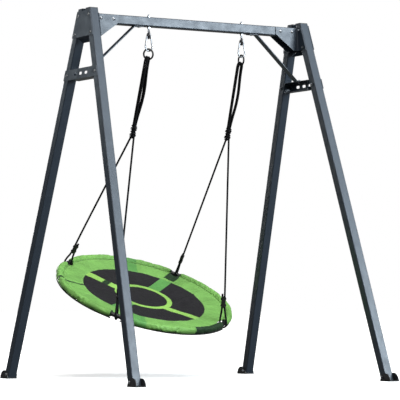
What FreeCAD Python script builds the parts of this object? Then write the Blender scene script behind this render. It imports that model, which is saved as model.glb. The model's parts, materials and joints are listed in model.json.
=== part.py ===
"""Garden swing set: a four-legged steel frame with a round, rope-hung saucer seat.

Millimetres. X runs along the beam, -Y is the front, +Z is up.
The origin is on the ground in the middle of the four feet.
The seat is stored swung towards the back and hanging a little twisted, as a rope-hung seat does.
"""
import FreeCAD
import Part
import math
import os

V = FreeCAD.Vector
X_AXIS = V(1, 0, 0)
Y_AXIS = V(0, 1, 0)
Z_AXIS = V(0, 0, 1)
ORIGIN = V(0, 0, 0)

# Frame
frame_height = 2000.0
leg_size = 50.0
leg_wall = 2.0
leg_corner = 5.0
leg_top_x = 672.0
leg_foot_x = 781.0
leg_top_y = 40.0
leg_foot_y = 710.5
cap_thickness = 3.0
cap_skirt = 18.0

# Beam
beam_top = 1974.0
beam_height = 50.0
beam_width = 66.0
beam_wall = 2.0
beam_end_x = 644.0
beam_cap_thickness = 3.0

# Sheet-metal fittings at the top corners
sheet = 3.5
plate_sheet = 3.0
bracket_inner_x = 503.0
bracket_top = 1971.0
bracket_step = 1931.0
bracket_bottom = 1844.0
bracket_toe_x = 622.0
bracket_bend = 13.0
plate_top = 15.0
plate_bottom = 156.0
lip_length = 45.0
lip_half_width = 58.0
lip_angle = math.radians(35)

# Crossbars, measured down the side panel from the leg tops
crossbar_top = 325.0
crossbar_bottom = 381.0
crossbar_depth = 54.0
crossbar_slot_length = 34.0
crossbar_slot_height = 16.0
crossbar_slot_pitch = 62.0

# Braces
brace_width = 40.0
brace_thickness = 4.0
brace_bend = 12.0
brace_start_x = 340.0
brace_corner_x = 392.0
brace_bolt_x = 362.0

# Fasteners
bolt_radius = 4.0
bolt_clearance = 0.25
head_radius = 9.0
head_height = 5.0
nut_width = 13.0
nut_height = 7.0
nut_gap = 0.05
plate_bolts = ((57.5, 40.0), (88.0, 138.5))
beam_bolt_x = (535.0, 612.0)
foot_bolt_height = 22.0

# Feet
foot_base = 6.0
cheek_radius = 47.0
cheek_thickness = 4.0
cheek_gap = 0.2
foot_offset = 18.0
anchor_offset = 45.5
anchor_hole_radius = 5.5

# Hanging gear
hang_x = 298.0
eye_height = 1876.0
eye_ring_radius = 15.0
eye_wire_radius = 4.5
eye_shank_radius = 5.0
eye_stud_top = 1991.0
eye_nut_width = 17.0
eye_nut_height = 8.0
washer_radius = 11.0
washer_thickness = 2.0
bush_body_radius = 10.3
bush_flange_radius = 13.0
bush_half_length = 7.0
bush_clearance = 0.35
hook_wire = 4.2
hook_top_bow = 13.0
hook_bottom_bow = 21.0
hook_length = 84.0
gate_wire = 3.8
gate_pin_radius = 1.5
gate_tongue = 4.0
gate_slot = 4.4
gate_bar_start = 5.8
ring_radius = 28.0
ring_wire = 4.75
ring_gap = 10.2
ring_lean = 13.0
ring_yaw = {"left": 35.0, "right": 0.0}

# Seat, in its own frame
seat_centre = V(43, 646, 476)
seat_back_tilt = 24.4
seat_side_tilt = 3.1
seat_twist = -5.3
seat_ring_radius = 500.0
seat_tube = 12.7
seat_tube_wall = 1.5
connector_radius = 11.0
connector_half_angle = 5.0
pad_radius = 21.0
pad_bore = 13.0
rope_slot_half_angle = 3.3
rope_slots = {"rear_right": 45.0, "rear_left": 135.0, "front_left": 229.0, "front_right": 315.0}
deck_radius = 478.0
deck_flat_radius = 40.0
deck_thickness = 8.0
deck_rim_height = 4.0
deck_sag = 26.0
deck_notch_radius = 34.0

# Ropes
rope_radius = 5.5
ring_loop_gap = 1.6
tube_turn_gap = 1.4
strand_spacing = 5.9
knot_distance = 462.0
knot_share = {"left": 0.30, "right": 0.50}
knot_length = 80.0
knot_bore = 14.3
knot_radius = 19.0
knot_bend = 120.0
loop_spacing = 6.3
loop_start = 26.0
buckle_start = 92.0
buckle_length = 65.0
buckle_width = 28.0
buckle_waist = 20.0
buckle_thickness = 16.0
buckle_bore = 6.6
strand_offset = 7.0
tail_end = 172.0

SIDES = {"left": -1, "right": 1}
ENDS = {"front": -1, "rear": 1}

splay = math.atan2(leg_foot_x - leg_top_x, frame_height)
panel_length = math.hypot(leg_foot_x - leg_top_x, frame_height)
lean = math.atan2(leg_foot_y - leg_top_y, panel_length)
leg_half_depth = leg_size / 2 / math.cos(lean)
beam_bottom = beam_top - beam_height
pivot_height = eye_height - hook_length
nodes = {}


def leg_y(drop):
    """Distance of a leg's axis from the middle plane, a given way down the side panel."""
    return leg_top_y + drop * math.tan(lean)


def box(low, high):
    return Part.makeBox(high[0] - low[0], high[1] - low[1], high[2] - low[2], V(*low))


def prism(points, direction):
    corners = [V(*p) for p in points]
    return Part.Face(Part.makePolygon(corners + corners[:1])).extrude(direction)


def placed(shape, placement):
    """Move a shape and keep the move it already has."""
    moved = shape.copy()
    moved.Placement = placement.multiply(moved.Placement)
    return moved


def along(shape, point, direction):
    """Turn a shape's +Z to a direction and carry its origin to a point."""
    return placed(shape, FreeCAD.Placement(point, FreeCAD.Rotation(Z_AXIS, direction)))


def to_side(shape):
    """Carry a shape from the side panel's own plane to the right-hand side of the frame.

    In the panel's plane x points outwards, y to the back and z up, from the leg tops.
    """
    turn = FreeCAD.Rotation(Y_AXIS, -math.degrees(splay))
    return placed(shape, FreeCAD.Placement(V(leg_top_x, 0, frame_height), turn))


def flip_x(shape):
    return shape.mirror(ORIGIN, X_AXIS)


def flip_y(shape):
    return shape.mirror(ORIGIN, Y_AXIS)


def route(points, radii, closed=False):
    """A wire of straight runs joined by tangent arcs, with one radius for each corner."""
    count = len(points)
    corners = list(range(count)) if closed else list(range(1, count - 1))
    bends = {}
    for radius, i in zip(radii, corners):
        here = points[i]
        back = (points[i - 1] - here).normalize()
        ahead = (points[(i + 1) % count] - here).normalize()
        half = back.getAngle(ahead) / 2
        reach = radius / math.tan(half)
        middle_way = (back + ahead).normalize()
        centre = here + middle_way * (radius / math.sin(half))
        bends[i] = (here + back * reach, centre - middle_way * radius, here + ahead * reach)
    edges = []
    for i in range(count if closed else count - 1):
        after = (i + 1) % count
        start = bends[i][2] if i in bends else points[i]
        stop = bends[after][0] if after in bends else points[after]
        if start.distanceToPoint(stop) > 1e-4:
            edges.append(Part.LineSegment(start, stop).toShape())
        if after in bends:
            edges.append(Part.Arc(*bends[after]).toShape())
    return Part.Wire(edges)


def sweep(path, profile):
    return path.makePipeShell([profile], True, False)


def round_bar(path, radius):
    """A round wire, rope or rod along a path."""
    start = path.OrderedVertexes[0].Point
    first = path.OrderedEdges[0]
    heading = first.tangentAt(first.FirstParameter)
    if first.valueAt(first.FirstParameter).distanceToPoint(start) > 1e-3:
        heading = first.tangentAt(first.LastParameter) * -1
    return sweep(path, Part.Wire(Part.makeCircle(radius, start, heading)))


def rounded_bar(width, depth, corner, low, high):
    """An upright bar with rounded corners, centred on the Z axis."""
    w = width / 2
    d = depth / 2
    outline = route([V(-w, -d, low), V(w, -d, low), V(w, d, low), V(-w, d, low)], [corner] * 4, True)
    return Part.Face(outline).extrude(V(0, 0, high - low))


def drill(shape, holes):
    """Cut round holes, each given as a point, a direction, a length and a radius."""
    for point, direction, length, radius in holes:
        start = point - direction * (length / 2)
        shape = shape.cut(Part.makeCylinder(radius, length, start, direction))
    return shape


def bolt(length, radius=bolt_radius):
    """A dome-headed bolt: its head above the origin, its shank down -Z."""
    ball = (head_radius ** 2 + head_height ** 2) / (2 * head_height)
    dome = Part.makeSphere(ball, V(0, 0, head_height - ball))
    head = dome.common(Part.makeCylinder(head_radius, head_height))
    return head.fuse(Part.makeCylinder(radius, length, V(0, 0, -length))).removeSplitter()


def nut(width=nut_width, height=nut_height, radius=bolt_radius):
    """A hexagon nut standing on the origin."""
    reach = width / 2 / math.cos(math.radians(30))
    corners = []
    for i in range(6):
        angle = math.radians(60 * i)
        corners.append((reach * math.cos(angle), reach * math.sin(angle), 0))
    blank = prism(corners, V(0, 0, height))
    blank = blank.common(Part.makeCone(reach * 1.35, reach * 0.93, height))
    return blank.cut(Part.makeCylinder(radius + nut_gap, height))


def washer(radius, bore):
    return Part.makeCylinder(radius, washer_thickness).cut(Part.makeCylinder(bore, washer_thickness))


def group(shapes):
    return Part.makeCompound(shapes)


def leg_blank(size, corner):
    """The solid bar of the right front leg, longer than the leg at both ends."""
    bar = rounded_bar(size, size, corner, -panel_length / math.cos(lean) - 80, 80)
    turn = FreeCAD.Rotation(X_AXIS, -math.degrees(lean))
    return to_side(placed(bar, FreeCAD.Placement(V(0, -leg_top_y, 0), turn)))


def slab(low, high):
    return box((0, -2000, low), (2000, 2000, high))


def panel_holes(positions, radius):
    """Holes through the right front part of a side panel, across it."""
    frame = to_side(Part.Vertex(ORIGIN)).Placement
    outwards = frame.Rotation.multVec(X_AXIS)
    holes = []
    for y, drop in positions:
        holes.append((frame.multVec(V(0, -y, -drop)), outwards, 200, radius))
    return holes


def foot_bolt_place():
    drop = (frame_height - foot_bolt_height) / math.cos(splay)
    return leg_y(drop), drop


def crossbar_bolt_place():
    drop = (crossbar_top + crossbar_bottom) / 2
    return leg_y(drop), drop


def side_bolt_places():
    return list(plate_bolts) + [crossbar_bolt_place(), foot_bolt_place()]


def make_leg():
    outer = leg_blank(leg_size, leg_corner)
    inner = leg_blank(leg_size - 2 * leg_wall, leg_corner - leg_wall)
    tube = outer.cut(inner).common(slab(foot_base, frame_height - cap_thickness))
    return drill(tube, panel_holes(side_bolt_places(), bolt_radius + bolt_clearance))


def make_leg_cap():
    lid = leg_blank(leg_size, leg_corner).common(slab(frame_height - cap_thickness, frame_height))
    plug = leg_blank(leg_size - 2 * leg_wall - 0.6, leg_corner - leg_wall)
    skirt = plug.common(slab(frame_height - cap_skirt, frame_height - cap_thickness))
    hollow = leg_blank(leg_size - 2 * leg_wall - 5, 1.0)
    skirt = skirt.cut(hollow.common(slab(frame_height - cap_skirt - 1, frame_height - cap_thickness)))
    return lid.fuse(skirt).removeSplitter()


def make_beam():
    blank = rounded_bar(beam_height, beam_width, leg_corner, -beam_end_x, beam_end_x)
    bore = rounded_bar(beam_height - 2 * beam_wall, beam_width - 2 * beam_wall,
                       leg_corner - beam_wall, -beam_end_x, beam_end_x)
    turn = FreeCAD.Rotation(Y_AXIS, 90)
    middle = V(0, 0, beam_top - beam_height / 2)
    tube = placed(blank.cut(bore), FreeCAD.Placement(middle, turn))
    holes = []
    for side in SIDES.values():
        for x in beam_bolt_x:
            holes.append((V(side * x, 0, middle.z), Y_AXIS, 200, bolt_radius + bolt_clearance))
        holes.append((V(side * hang_x, 0, middle.z), Z_AXIS, 200, eye_shank_radius + bolt_clearance))
        holes.append((V(side * brace_bolt_x, 0, beam_bottom), Z_AXIS, 20, bolt_radius + bolt_clearance))
    return drill(tube, holes)


def make_beam_cap():
    """The plastic plug in the beam's right-hand end."""
    turn = FreeCAD.Rotation(Y_AXIS, 90)
    middle = V(0, 0, beam_top - beam_height / 2)
    lid = rounded_bar(beam_height, beam_width, leg_corner, beam_end_x, beam_end_x + beam_cap_thickness)
    inner_height = beam_height - 2 * beam_wall - 0.6
    inner_width = beam_width - 2 * beam_wall - 0.6
    skirt = rounded_bar(inner_height, inner_width, 2.5, beam_end_x - cap_skirt, beam_end_x)
    skirt = skirt.cut(rounded_bar(inner_height - 5, inner_width - 5, 1.0, beam_end_x - cap_skirt, beam_end_x))
    return placed(lid.fuse(skirt).removeSplitter(), FreeCAD.Placement(middle, turn))


def make_corner_bracket():
    """The right front bracket: a wing on the beam, a wide bend and a wing on the leg's inner face."""
    face_x = -leg_size / 2
    face_y = -beam_width / 2
    outer_bend = bracket_bend + sheet
    start_x = bracket_inner_x - leg_top_x - 30
    end_y = -leg_y(plate_bottom) - leg_half_depth - 30
    outline = route([
        V(start_x, face_y, 0), V(face_x, face_y, 0), V(face_x, end_y, 0),
        V(face_x - sheet, end_y, 0), V(face_x - sheet, face_y - sheet, 0), V(start_x, face_y - sheet, 0),
    ], [0.01, outer_bend, 0.01, 0.01, bracket_bend, 0.01], True)
    blank = Part.Face(outline).extrude(V(0, 0, -200))
    leg_edge = leg_y(0) + leg_half_depth - 1
    edge_run = math.tan(lean)
    leg_side = prism([
        (-400, 0, 0), (-400, -leg_edge, 0), (-400, -leg_edge - 200 * edge_run, -200), (-400, 0, -200),
    ], V(500, 0, 0))
    blank = to_side(blank.common(leg_side))
    beam_side = prism([
        (bracket_inner_x, -300, bracket_top), (bracket_inner_x, -300, bracket_step),
        (bracket_toe_x, -300, bracket_bottom), (900, -300, bracket_bottom), (900, -300, bracket_top),
    ], V(0, 300, 0))
    bracket = blank.common(beam_side)
    holes = panel_holes(plate_bolts, bolt_radius + bolt_clearance)
    for x in beam_bolt_x:
        holes.append((V(x, face_y, beam_top - beam_height / 2), Y_AXIS, 30, bolt_radius + bolt_clearance))
    return drill(bracket, holes)


def panel_trapezoid(top, bottom, thickness, margin=0.0):
    """A plate on the outer faces of both right legs, its ends following the legs."""
    x = leg_size / 2
    top_y = leg_y(top) + leg_half_depth - margin
    bottom_y = leg_y(bottom) + leg_half_depth - margin
    corners = [V(x, -top_y, -top), V(x, top_y, -top), V(x, bottom_y, -bottom), V(x, -bottom_y, -bottom)]
    return Part.Face(route(corners, [4.0] * 4, True)).extrude(V(thickness, 0, 0))


def both_ends(positions):
    return [(y * end, drop) for y, drop in positions for end in (-1, 1)]


def make_outer_plate():
    """The right outer plate, with a slanted stiffening lip between the legs."""
    x = leg_size / 2
    outer = V(x + plate_sheet, 0, -plate_bottom)
    tip = outer + V(-math.cos(lip_angle), 0, -math.sin(lip_angle)) * lip_length
    inner_tip = tip + V(-math.sin(lip_angle), 0, math.cos(lip_angle)) * plate_sheet
    inner_drop = (inner_tip.x - x) * math.tan(lip_angle)
    profile = [
        (x, -lip_half_width, -plate_bottom + 6), (x + plate_sheet, -lip_half_width, -plate_bottom + 6),
        (outer.x, -lip_half_width, outer.z), (tip.x, -lip_half_width, tip.z),
        (inner_tip.x, -lip_half_width, inner_tip.z), (x, -lip_half_width, inner_tip.z - inner_drop),
    ]
    plate = panel_trapezoid(plate_top, plate_bottom, plate_sheet)
    plate = plate.fuse(prism(profile, V(0, 2 * lip_half_width, 0))).removeSplitter()
    return drill(to_side(plate), panel_holes(both_ends(plate_bolts), bolt_radius + bolt_clearance))


def make_crossbar():
    """The right crossbar: a channel whose flanges point inwards between the legs."""
    x = leg_size / 2
    bar = panel_trapezoid(crossbar_top, crossbar_bottom, plate_sheet)
    for drop, sign in ((crossbar_top, -1), (crossbar_bottom, 1)):
        reach = leg_y(crossbar_top) - leg_half_depth - 2
        low = min(-drop, -drop + sign * plate_sheet)
        flange = box((x - crossbar_depth, -reach, low), (x + plate_sheet, reach, low + plate_sheet))
        bar = bar.fuse(flange)
        for end in (-1, 1):
            tab_y = end * (reach - plate_sheet / 2)
            tab = box((x - crossbar_depth, tab_y - plate_sheet / 2, min(-drop, -drop + sign * 18)),
                      (x - 6, tab_y + plate_sheet / 2, max(-drop, -drop + sign * 18)))
            bar = bar.fuse(tab)
    middle = -(crossbar_top + crossbar_bottom) / 2
    for i in (-1, 0, 1):
        bar = bar.cut(slot_cutter(x, i * crossbar_slot_pitch, middle))
    bar = to_side(bar.removeSplitter())
    lower_hole = brace_lower_bolt()
    holes = panel_holes(both_ends([crossbar_bolt_place()]), bolt_radius + bolt_clearance)
    holes.append((lower_hole[0], lower_hole[1], 30, bolt_radius + bolt_clearance))
    return drill(bar, holes)


def slot_cutter(x, y, z):
    straight = crossbar_slot_length / 2 - crossbar_slot_height / 2
    outline = route([
        V(x - 5, y - straight - crossbar_slot_height / 2, z - crossbar_slot_height / 2),
        V(x - 5, y + straight + crossbar_slot_height / 2, z - crossbar_slot_height / 2),
        V(x - 5, y + straight + crossbar_slot_height / 2, z + crossbar_slot_height / 2),
        V(x - 5, y - straight - crossbar_slot_height / 2, z + crossbar_slot_height / 2),
    ], [crossbar_slot_height / 2 - 0.2] * 4, True)
    return Part.Face(outline).extrude(V(20, 0, 0))


def brace_lower_bolt():
    """Where the brace's lower bolt goes through the crossbar's top flange, and its direction."""
    frame = to_side(Part.Vertex(ORIGIN)).Placement
    return frame.multVec(V(-5, 0, -crossbar_top)), frame.Rotation.multVec(Z_AXIS)


def make_brace():
    """The right brace: a flat bar bent flat against the beam above and the crossbar below."""
    frame = to_side(Part.Vertex(ORIGIN)).Placement
    half = brace_thickness / 2
    low_corner = frame.multVec(V(-leg_size / 2 - 6, 0, -crossbar_top + half))
    low_end = frame.multVec(V(14, 0, -crossbar_top + half))
    points = [V(brace_start_x, 0, beam_bottom - half), V(brace_corner_x, 0, beam_bottom - half),
              low_corner, low_end]
    path = route(points, [brace_bend, brace_bend])
    section = Part.makePolygon([
        V(brace_start_x, -brace_width / 2, beam_bottom - brace_thickness),
        V(brace_start_x, brace_width / 2, beam_bottom - brace_thickness),
        V(brace_start_x, brace_width / 2, beam_bottom),
        V(brace_start_x, -brace_width / 2, beam_bottom),
        V(brace_start_x, -brace_width / 2, beam_bottom - brace_thickness),
    ])
    strap = sweep(path, section)
    hole = brace_lower_bolt()
    return drill(strap, [
        (V(brace_bolt_x, 0, beam_bottom), Z_AXIS, 30, bolt_radius + bolt_clearance),
        (hole[0], hole[1], 30, bolt_radius + bolt_clearance),
    ])


def make_foot():
    """The right front shoe: a ground plate with two round-topped cheeks round the leg."""
    centre_y = -(leg_foot_y + foot_offset)
    shoe = box((leg_foot_x - leg_size / 2 - cheek_thickness, centre_y - cheek_radius, 0),
               (leg_foot_x + leg_size / 2 + cheek_thickness, centre_y + cheek_radius, foot_base))
    for side in (-1, 1):
        inner = leg_size / 2 + cheek_gap
        start = inner if side > 0 else -inner - cheek_thickness
        cheek = Part.makeCylinder(cheek_radius, cheek_thickness, V(start, centre_y, -panel_length - 2), X_AXIS)
        shoe = shoe.fuse(to_side(cheek).common(slab(0, 200)))
    hole = (V(leg_foot_x, -(leg_foot_y + anchor_offset), 0), Z_AXIS, 40, anchor_hole_radius)
    holes = panel_holes([foot_bolt_place()], bolt_radius + bolt_clearance)
    return drill(shoe.removeSplitter(), holes + [hole])


def side_fasteners(positions, outer_x, inner_x):
    """Bolts across the right panel's front half, with nuts inside; x is where head and nut sit."""
    bolts = []
    nuts = []
    length = outer_x - inner_x + nut_height + 3
    for y, drop in positions:
        bolts.append(to_side(along(bolt(length), V(outer_x, -y, -drop), X_AXIS)))
        nuts.append(to_side(along(nut(), V(inner_x, -y, -drop), X_AXIS * -1)))
    return bolts, nuts


def four_corners(shapes):
    """Copies of right front shapes at all four corners of the frame."""
    result = []
    for shape in shapes:
        result += [shape, flip_y(shape), flip_x(shape), flip_x(flip_y(shape))]
    return group(result)


def beam_fasteners():
    reach = beam_width / 2 + sheet
    middle = beam_top - beam_height / 2
    bolts = []
    nuts = []
    for side in SIDES.values():
        for x in beam_bolt_x:
            bolts.append(along(bolt(2 * reach + nut_height + 3), V(side * x, -reach, middle), Y_AXIS * -1))
            nuts.append(along(nut(), V(side * x, reach, middle), Y_AXIS))
    return group(bolts), group(nuts)


def brace_fasteners():
    """Upper bolts screw up into the beam's wall; lower ones go down through the crossbar's flange."""
    lower_point, lower_way = brace_lower_bolt()
    upper = along(bolt(brace_thickness + beam_wall + nut_height + 2),
                  V(brace_bolt_x, 0, beam_bottom - brace_thickness), Z_AXIS * -1)
    upper_nut = along(nut(), V(brace_bolt_x, 0, beam_bottom + beam_wall), Z_AXIS)
    lower = along(bolt(brace_thickness + plate_sheet + nut_height + 2),
                  lower_point + lower_way * brace_thickness, lower_way)
    lower_nut = along(nut(), lower_point - lower_way * plate_sheet, lower_way * -1)
    bolts = [upper, flip_x(upper), lower, flip_x(lower)]
    nuts = [upper_nut, flip_x(upper_nut), lower_nut, flip_x(lower_nut)]
    return group(bolts), group(nuts)


def make_eye_bolt(x):
    """An eye bolt hanging through the beam, its eye open along X."""
    eye = Part.makeTorus(eye_ring_radius, eye_wire_radius, V(x, 0, eye_height), X_AXIS)
    shank_low = eye_height + eye_ring_radius - 1
    shank = Part.makeCylinder(eye_shank_radius, eye_stud_top - shank_low, V(x, 0, shank_low))
    collar = Part.makeCone(eye_wire_radius, eye_shank_radius + 2.5, 10, V(x, 0, shank_low + 2))
    hole = Part.makeCylinder(eye_ring_radius - eye_wire_radius, 40, V(x - 20, 0, eye_height), X_AXIS)
    return eye.fuse(shank).fuse(collar).cut(hole).removeSplitter()


def eye_fasteners():
    nuts = []
    washers = []
    bore = eye_shank_radius + nut_gap
    for side in SIDES.values():
        x = side * hang_x
        nuts.append(along(nut(eye_nut_width, eye_nut_height, eye_shank_radius),
                          V(x, 0, beam_top + washer_thickness), Z_AXIS))
        nuts.append(along(nut(eye_nut_width, eye_nut_height, eye_shank_radius),
                          V(x, 0, beam_bottom - washer_thickness), Z_AXIS * -1))
        washers.append(along(washer(washer_radius, bore), V(x, 0, beam_top), Z_AXIS))
        washers.append(along(washer(washer_radius, bore), V(x, 0, beam_bottom), Z_AXIS * -1))
    return group(nuts), group(washers)


def make_bush(x):
    """A flanged nylon bush in the eye, its bore flared to take the snap hook's bow."""
    flange = eye_wire_radius + 0.1
    body = Part.makeCylinder(bush_body_radius, 2 * flange, V(-flange, 0, 0), X_AXIS)
    for start in (-bush_half_length, flange):
        body = body.fuse(Part.makeCylinder(bush_flange_radius, bush_half_length - flange,
                                           V(start, 0, 0), X_AXIS))
    inner_bow = hook_top_bow - hook_wire - bush_clearance
    waist = hook_top_bow - inner_bow
    mouth = hook_top_bow - math.sqrt(inner_bow ** 2 - bush_half_length ** 2)
    edges = [
        Part.Arc(V(-bush_half_length, 0, mouth), V(0, 0, waist), V(bush_half_length, 0, mouth)).toShape(),
        Part.LineSegment(V(bush_half_length, 0, mouth), V(bush_half_length, 0, 0)).toShape(),
        Part.LineSegment(V(bush_half_length, 0, 0), V(-bush_half_length, 0, 0)).toShape(),
        Part.LineSegment(V(-bush_half_length, 0, 0), V(-bush_half_length, 0, mouth)).toShape(),
    ]
    bore = Part.Face(Part.Wire(edges)).revolve(ORIGIN, X_AXIS, 360)
    return placed(body.cut(bore), FreeCAD.Placement(V(x, 0, eye_height), FreeCAD.Rotation()))


def hook_side_points():
    """The straight side of the snap hook, on its gate side: where it leaves the two bows."""
    top = V(0, 0, -hook_top_bow)
    bottom = V(0, 0, -hook_length + hook_bottom_bow)
    rise = top.z - bottom.z
    tilt = math.asin((hook_bottom_bow - hook_top_bow) / rise)
    normal = V(math.cos(tilt), 0, math.sin(tilt))
    return top + normal * hook_top_bow, bottom + normal * hook_bottom_bow


def gate_places():
    """The gate's hinge and its free end, in the snap hook's own frame."""
    high, low = hook_side_points()
    way = (low - high).normalize()
    return high + way * 5, low - way * 1.0, way


def mirrored_x(point):
    return V(-point.x, point.y, point.z)


def make_hook(x):
    """A pear-shaped snap hook with its narrow bow in the eye and its gate side to the right."""
    high, low = hook_side_points()
    hinge, nose, way = gate_places()
    ears_end = hinge + way * 4.4
    edges = [
        Part.LineSegment(ears_end, high).toShape(),
        Part.Arc(high, ORIGIN, mirrored_x(high)).toShape(),
        Part.LineSegment(mirrored_x(high), mirrored_x(low)).toShape(),
        Part.Arc(mirrored_x(low), V(0, 0, -hook_length), low).toShape(),
        Part.LineSegment(low, nose).toShape(),
    ]
    bar = round_bar(Part.Wire(edges), hook_wire)
    slot = Part.makeCylinder(4.6, gate_slot, hinge - Y_AXIS * (gate_slot / 2), Y_AXIS)
    mouth = box((-4.2, -gate_slot / 2, 0), (4.2, gate_slot / 2, 12))
    bar = bar.cut(slot).cut(along(mouth, hinge, way))
    bar = drill(bar, [(hinge, Y_AXIS, 30, gate_pin_radius + nut_gap)])
    return placed(bar, FreeCAD.Placement(V(x, 0, eye_height), FreeCAD.Rotation()))


def make_gate(x):
    """The snap hook's spring gate: a tongue in the hook's fork and a round bar down to its nose."""
    hinge, nose, way = gate_places()
    start = hinge + way * gate_bar_start
    stop = nose - way * 0.7
    bar = Part.makeCylinder(gate_wire, start.distanceToPoint(stop), start, way)
    knuckle = Part.makeCylinder(3.6, gate_tongue, hinge - Y_AXIS * (gate_tongue / 2), Y_AXIS)
    neck = along(box((-3.6, -gate_tongue / 2, 0), (3.6, gate_tongue / 2, 8)), hinge, way)
    gate = bar.fuse(knuckle).fuse(neck).removeSplitter()
    gate = drill(gate, [(hinge, Y_AXIS, 30, gate_pin_radius + nut_gap)])
    return placed(gate, FreeCAD.Placement(V(x, 0, eye_height), FreeCAD.Rotation()))


def make_gate_pins():
    hinge = gate_places()[0]
    pins = []
    for side in SIDES.values():
        start = hinge + V(side * hang_x, -hook_wire, eye_height)
        pins.append(Part.makeCylinder(gate_pin_radius, 2 * hook_wire, start, Y_AXIS))
    return group(pins)


def ring_place(side):
    """The steel ring's placement: it hangs in the snap hook, leaning back a little."""
    tilt = FreeCAD.Rotation(X_AXIS, ring_lean)
    centre = V(SIDES[side] * hang_x, 0, pivot_height) + tilt.multVec(V(0, 0, ring_gap - ring_radius))
    return FreeCAD.Placement(centre, tilt.multiply(FreeCAD.Rotation(Z_AXIS, ring_yaw[side])))


def make_ring(side):
    return placed(Part.makeTorus(ring_radius, ring_wire, ORIGIN, X_AXIS), ring_place(side))


def seat_place():
    turn = FreeCAD.Rotation(X_AXIS, seat_back_tilt)
    turn = turn.multiply(FreeCAD.Rotation(Y_AXIS, seat_side_tilt))
    turn = turn.multiply(FreeCAD.Rotation(Z_AXIS, seat_twist))
    return FreeCAD.Placement(seat_centre, turn)


def slot_point(name, height=0.0):
    """The middle of a rope slot on the seat ring's circle, in the seat's own frame."""
    angle = math.radians(rope_slots[name])
    return V(seat_ring_radius * math.cos(angle), seat_ring_radius * math.sin(angle), height)


def anchor_point(side, end):
    """The middle of the seat tube where one rope goes round it, and the tube's direction there."""
    frame = seat_place()
    point = slot_point(end + "_" + side)
    return frame.multVec(point), frame.Rotation.multVec(Z_AXIS.cross(point).normalize())


def knot_frame(side):
    """The knot's middle, and the downward, sideways and backward directions there."""
    top = V(SIDES[side] * hang_x, 0, pivot_height)
    share = knot_share[side]
    below = anchor_point(side, "front")[0] * (1 - share) + anchor_point(side, "rear")[0] * share
    down = (below - top).normalize()
    backward = (Y_AXIS - down * Y_AXIS.dot(down)).normalize()
    return top + down * knot_distance, down, backward.cross(down), backward


def ring_crossing(side):
    """Where the ropes settle on the ring's wire, the way along the wire, and the ring's normal."""
    frame = ring_place(side)
    normal = frame.Rotation.multVec(X_AXIS)
    to_knot = knot_frame(side)[0] - frame.Base
    radial = (to_knot - normal * to_knot.dot(normal)).normalize()
    way = radial.cross(normal).normalize()
    if way.y < 0:
        way = way * -1
    return frame.Base + radial * ring_radius, way, normal


def buckle_frame(side, end):
    """The rope's two runs above the seat tube: base point, the way up the rope, and across."""
    point, tube_way = anchor_point(side, end)
    knot = knot_frame(side)[0]
    up = (knot - point).normalize()
    normal = (tube_way - up * tube_way.dot(up)).normalize()
    across = normal.cross(up)
    outwards = point - seat_centre
    if across.dot(outwards) < 0:
        across = across * -1
    return point, up, across


def rope_route(side, end):
    """One rope from its tail in the knot, over the ring, back through the knot, and round the seat tube."""
    knot, down, sideways, backward = knot_frame(side)
    row = backward * (ENDS[end] * strand_spacing)
    crossing, wire_way, ring_normal = ring_crossing(side)
    loop_centre = crossing + wire_way * (ENDS[end] * loop_spacing)
    up = (loop_centre - knot).normalize()
    out = (ring_normal - up * ring_normal.dot(up)).normalize()
    if out.dot(sideways) < 0:
        out = out * -1
    loop = ring_wire + rope_radius + ring_loop_gap
    point, rope_up, across = buckle_frame(side, end)
    turn = seat_tube + rope_radius + tube_turn_gap
    points = [
        knot + down * (knot_length / 2 - 4) + row + sideways * strand_spacing,
        loop_centre + out * loop + up * loop,
        loop_centre - out * loop + up * loop,
        knot + row - sideways * strand_spacing,
        point + rope_up * buckle_start + across * strand_offset,
        point + rope_up * loop_start + across * turn,
        point - rope_up * turn + across * turn,
        point - rope_up * turn - across * turn,
        point + rope_up * loop_start - across * turn,
        point + rope_up * buckle_start - across * strand_offset,
        point + rope_up * tail_end - across * strand_offset,
    ]
    # The loop on the ring and the turn round the seat tube are those things' own sizes.
    radii = [loop, loop - 0.2, knot_bend, 200.0, 100.0, turn - 0.01, turn - 0.01, 100.0, 200.0]
    return route(points, radii), radii


def make_rope(side, end):
    path, radii = rope_route(side, end)
    tube = round_bar(path, rope_radius)
    expected = path.Length * math.pi * rope_radius ** 2
    print("rope %s %s: length %.0f mm, radii %s, volume ratio %.4f" % (
        end, side, path.Length, [round(r, 1) for r in radii], tube.Volume / expected))
    return tube


def make_knot(side):
    """The outer shape of the knot that gathers one side's strands."""
    knot, down, sideways, backward = knot_frame(side)
    start = knot - down * (knot_length / 2)
    sleeve = Part.makeCylinder(knot_radius, knot_length, start, down)
    return sleeve.cut(Part.makeCylinder(knot_bore, knot_length, start, down))


def make_buckle(side, end):
    """A figure-eight rope adjuster: the rope goes down through one bore and back up the other."""
    lobe = buckle_width / 2
    reach = buckle_length / 2 - lobe
    half = buckle_thickness / 2
    body = box((-buckle_waist / 2, -half, -reach), (buckle_waist / 2, half, reach))
    for z in (-reach, reach):
        body = body.fuse(Part.makeCylinder(lobe, buckle_thickness, V(0, -half, z), Y_AXIS))
    body = body.removeSplitter()
    bores = [(V(x, 0, 0), Z_AXIS, 2 * buckle_length, buckle_bore) for x in (-strand_offset, strand_offset)]
    body = drill(body, bores)
    point, up, across = buckle_frame(side, end)
    turn = FreeCAD.Rotation(across, up.cross(across), up, "ZXY")
    middle = point + up * (buckle_start + buckle_length / 2)
    return placed(body, FreeCAD.Placement(middle, turn))


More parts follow.
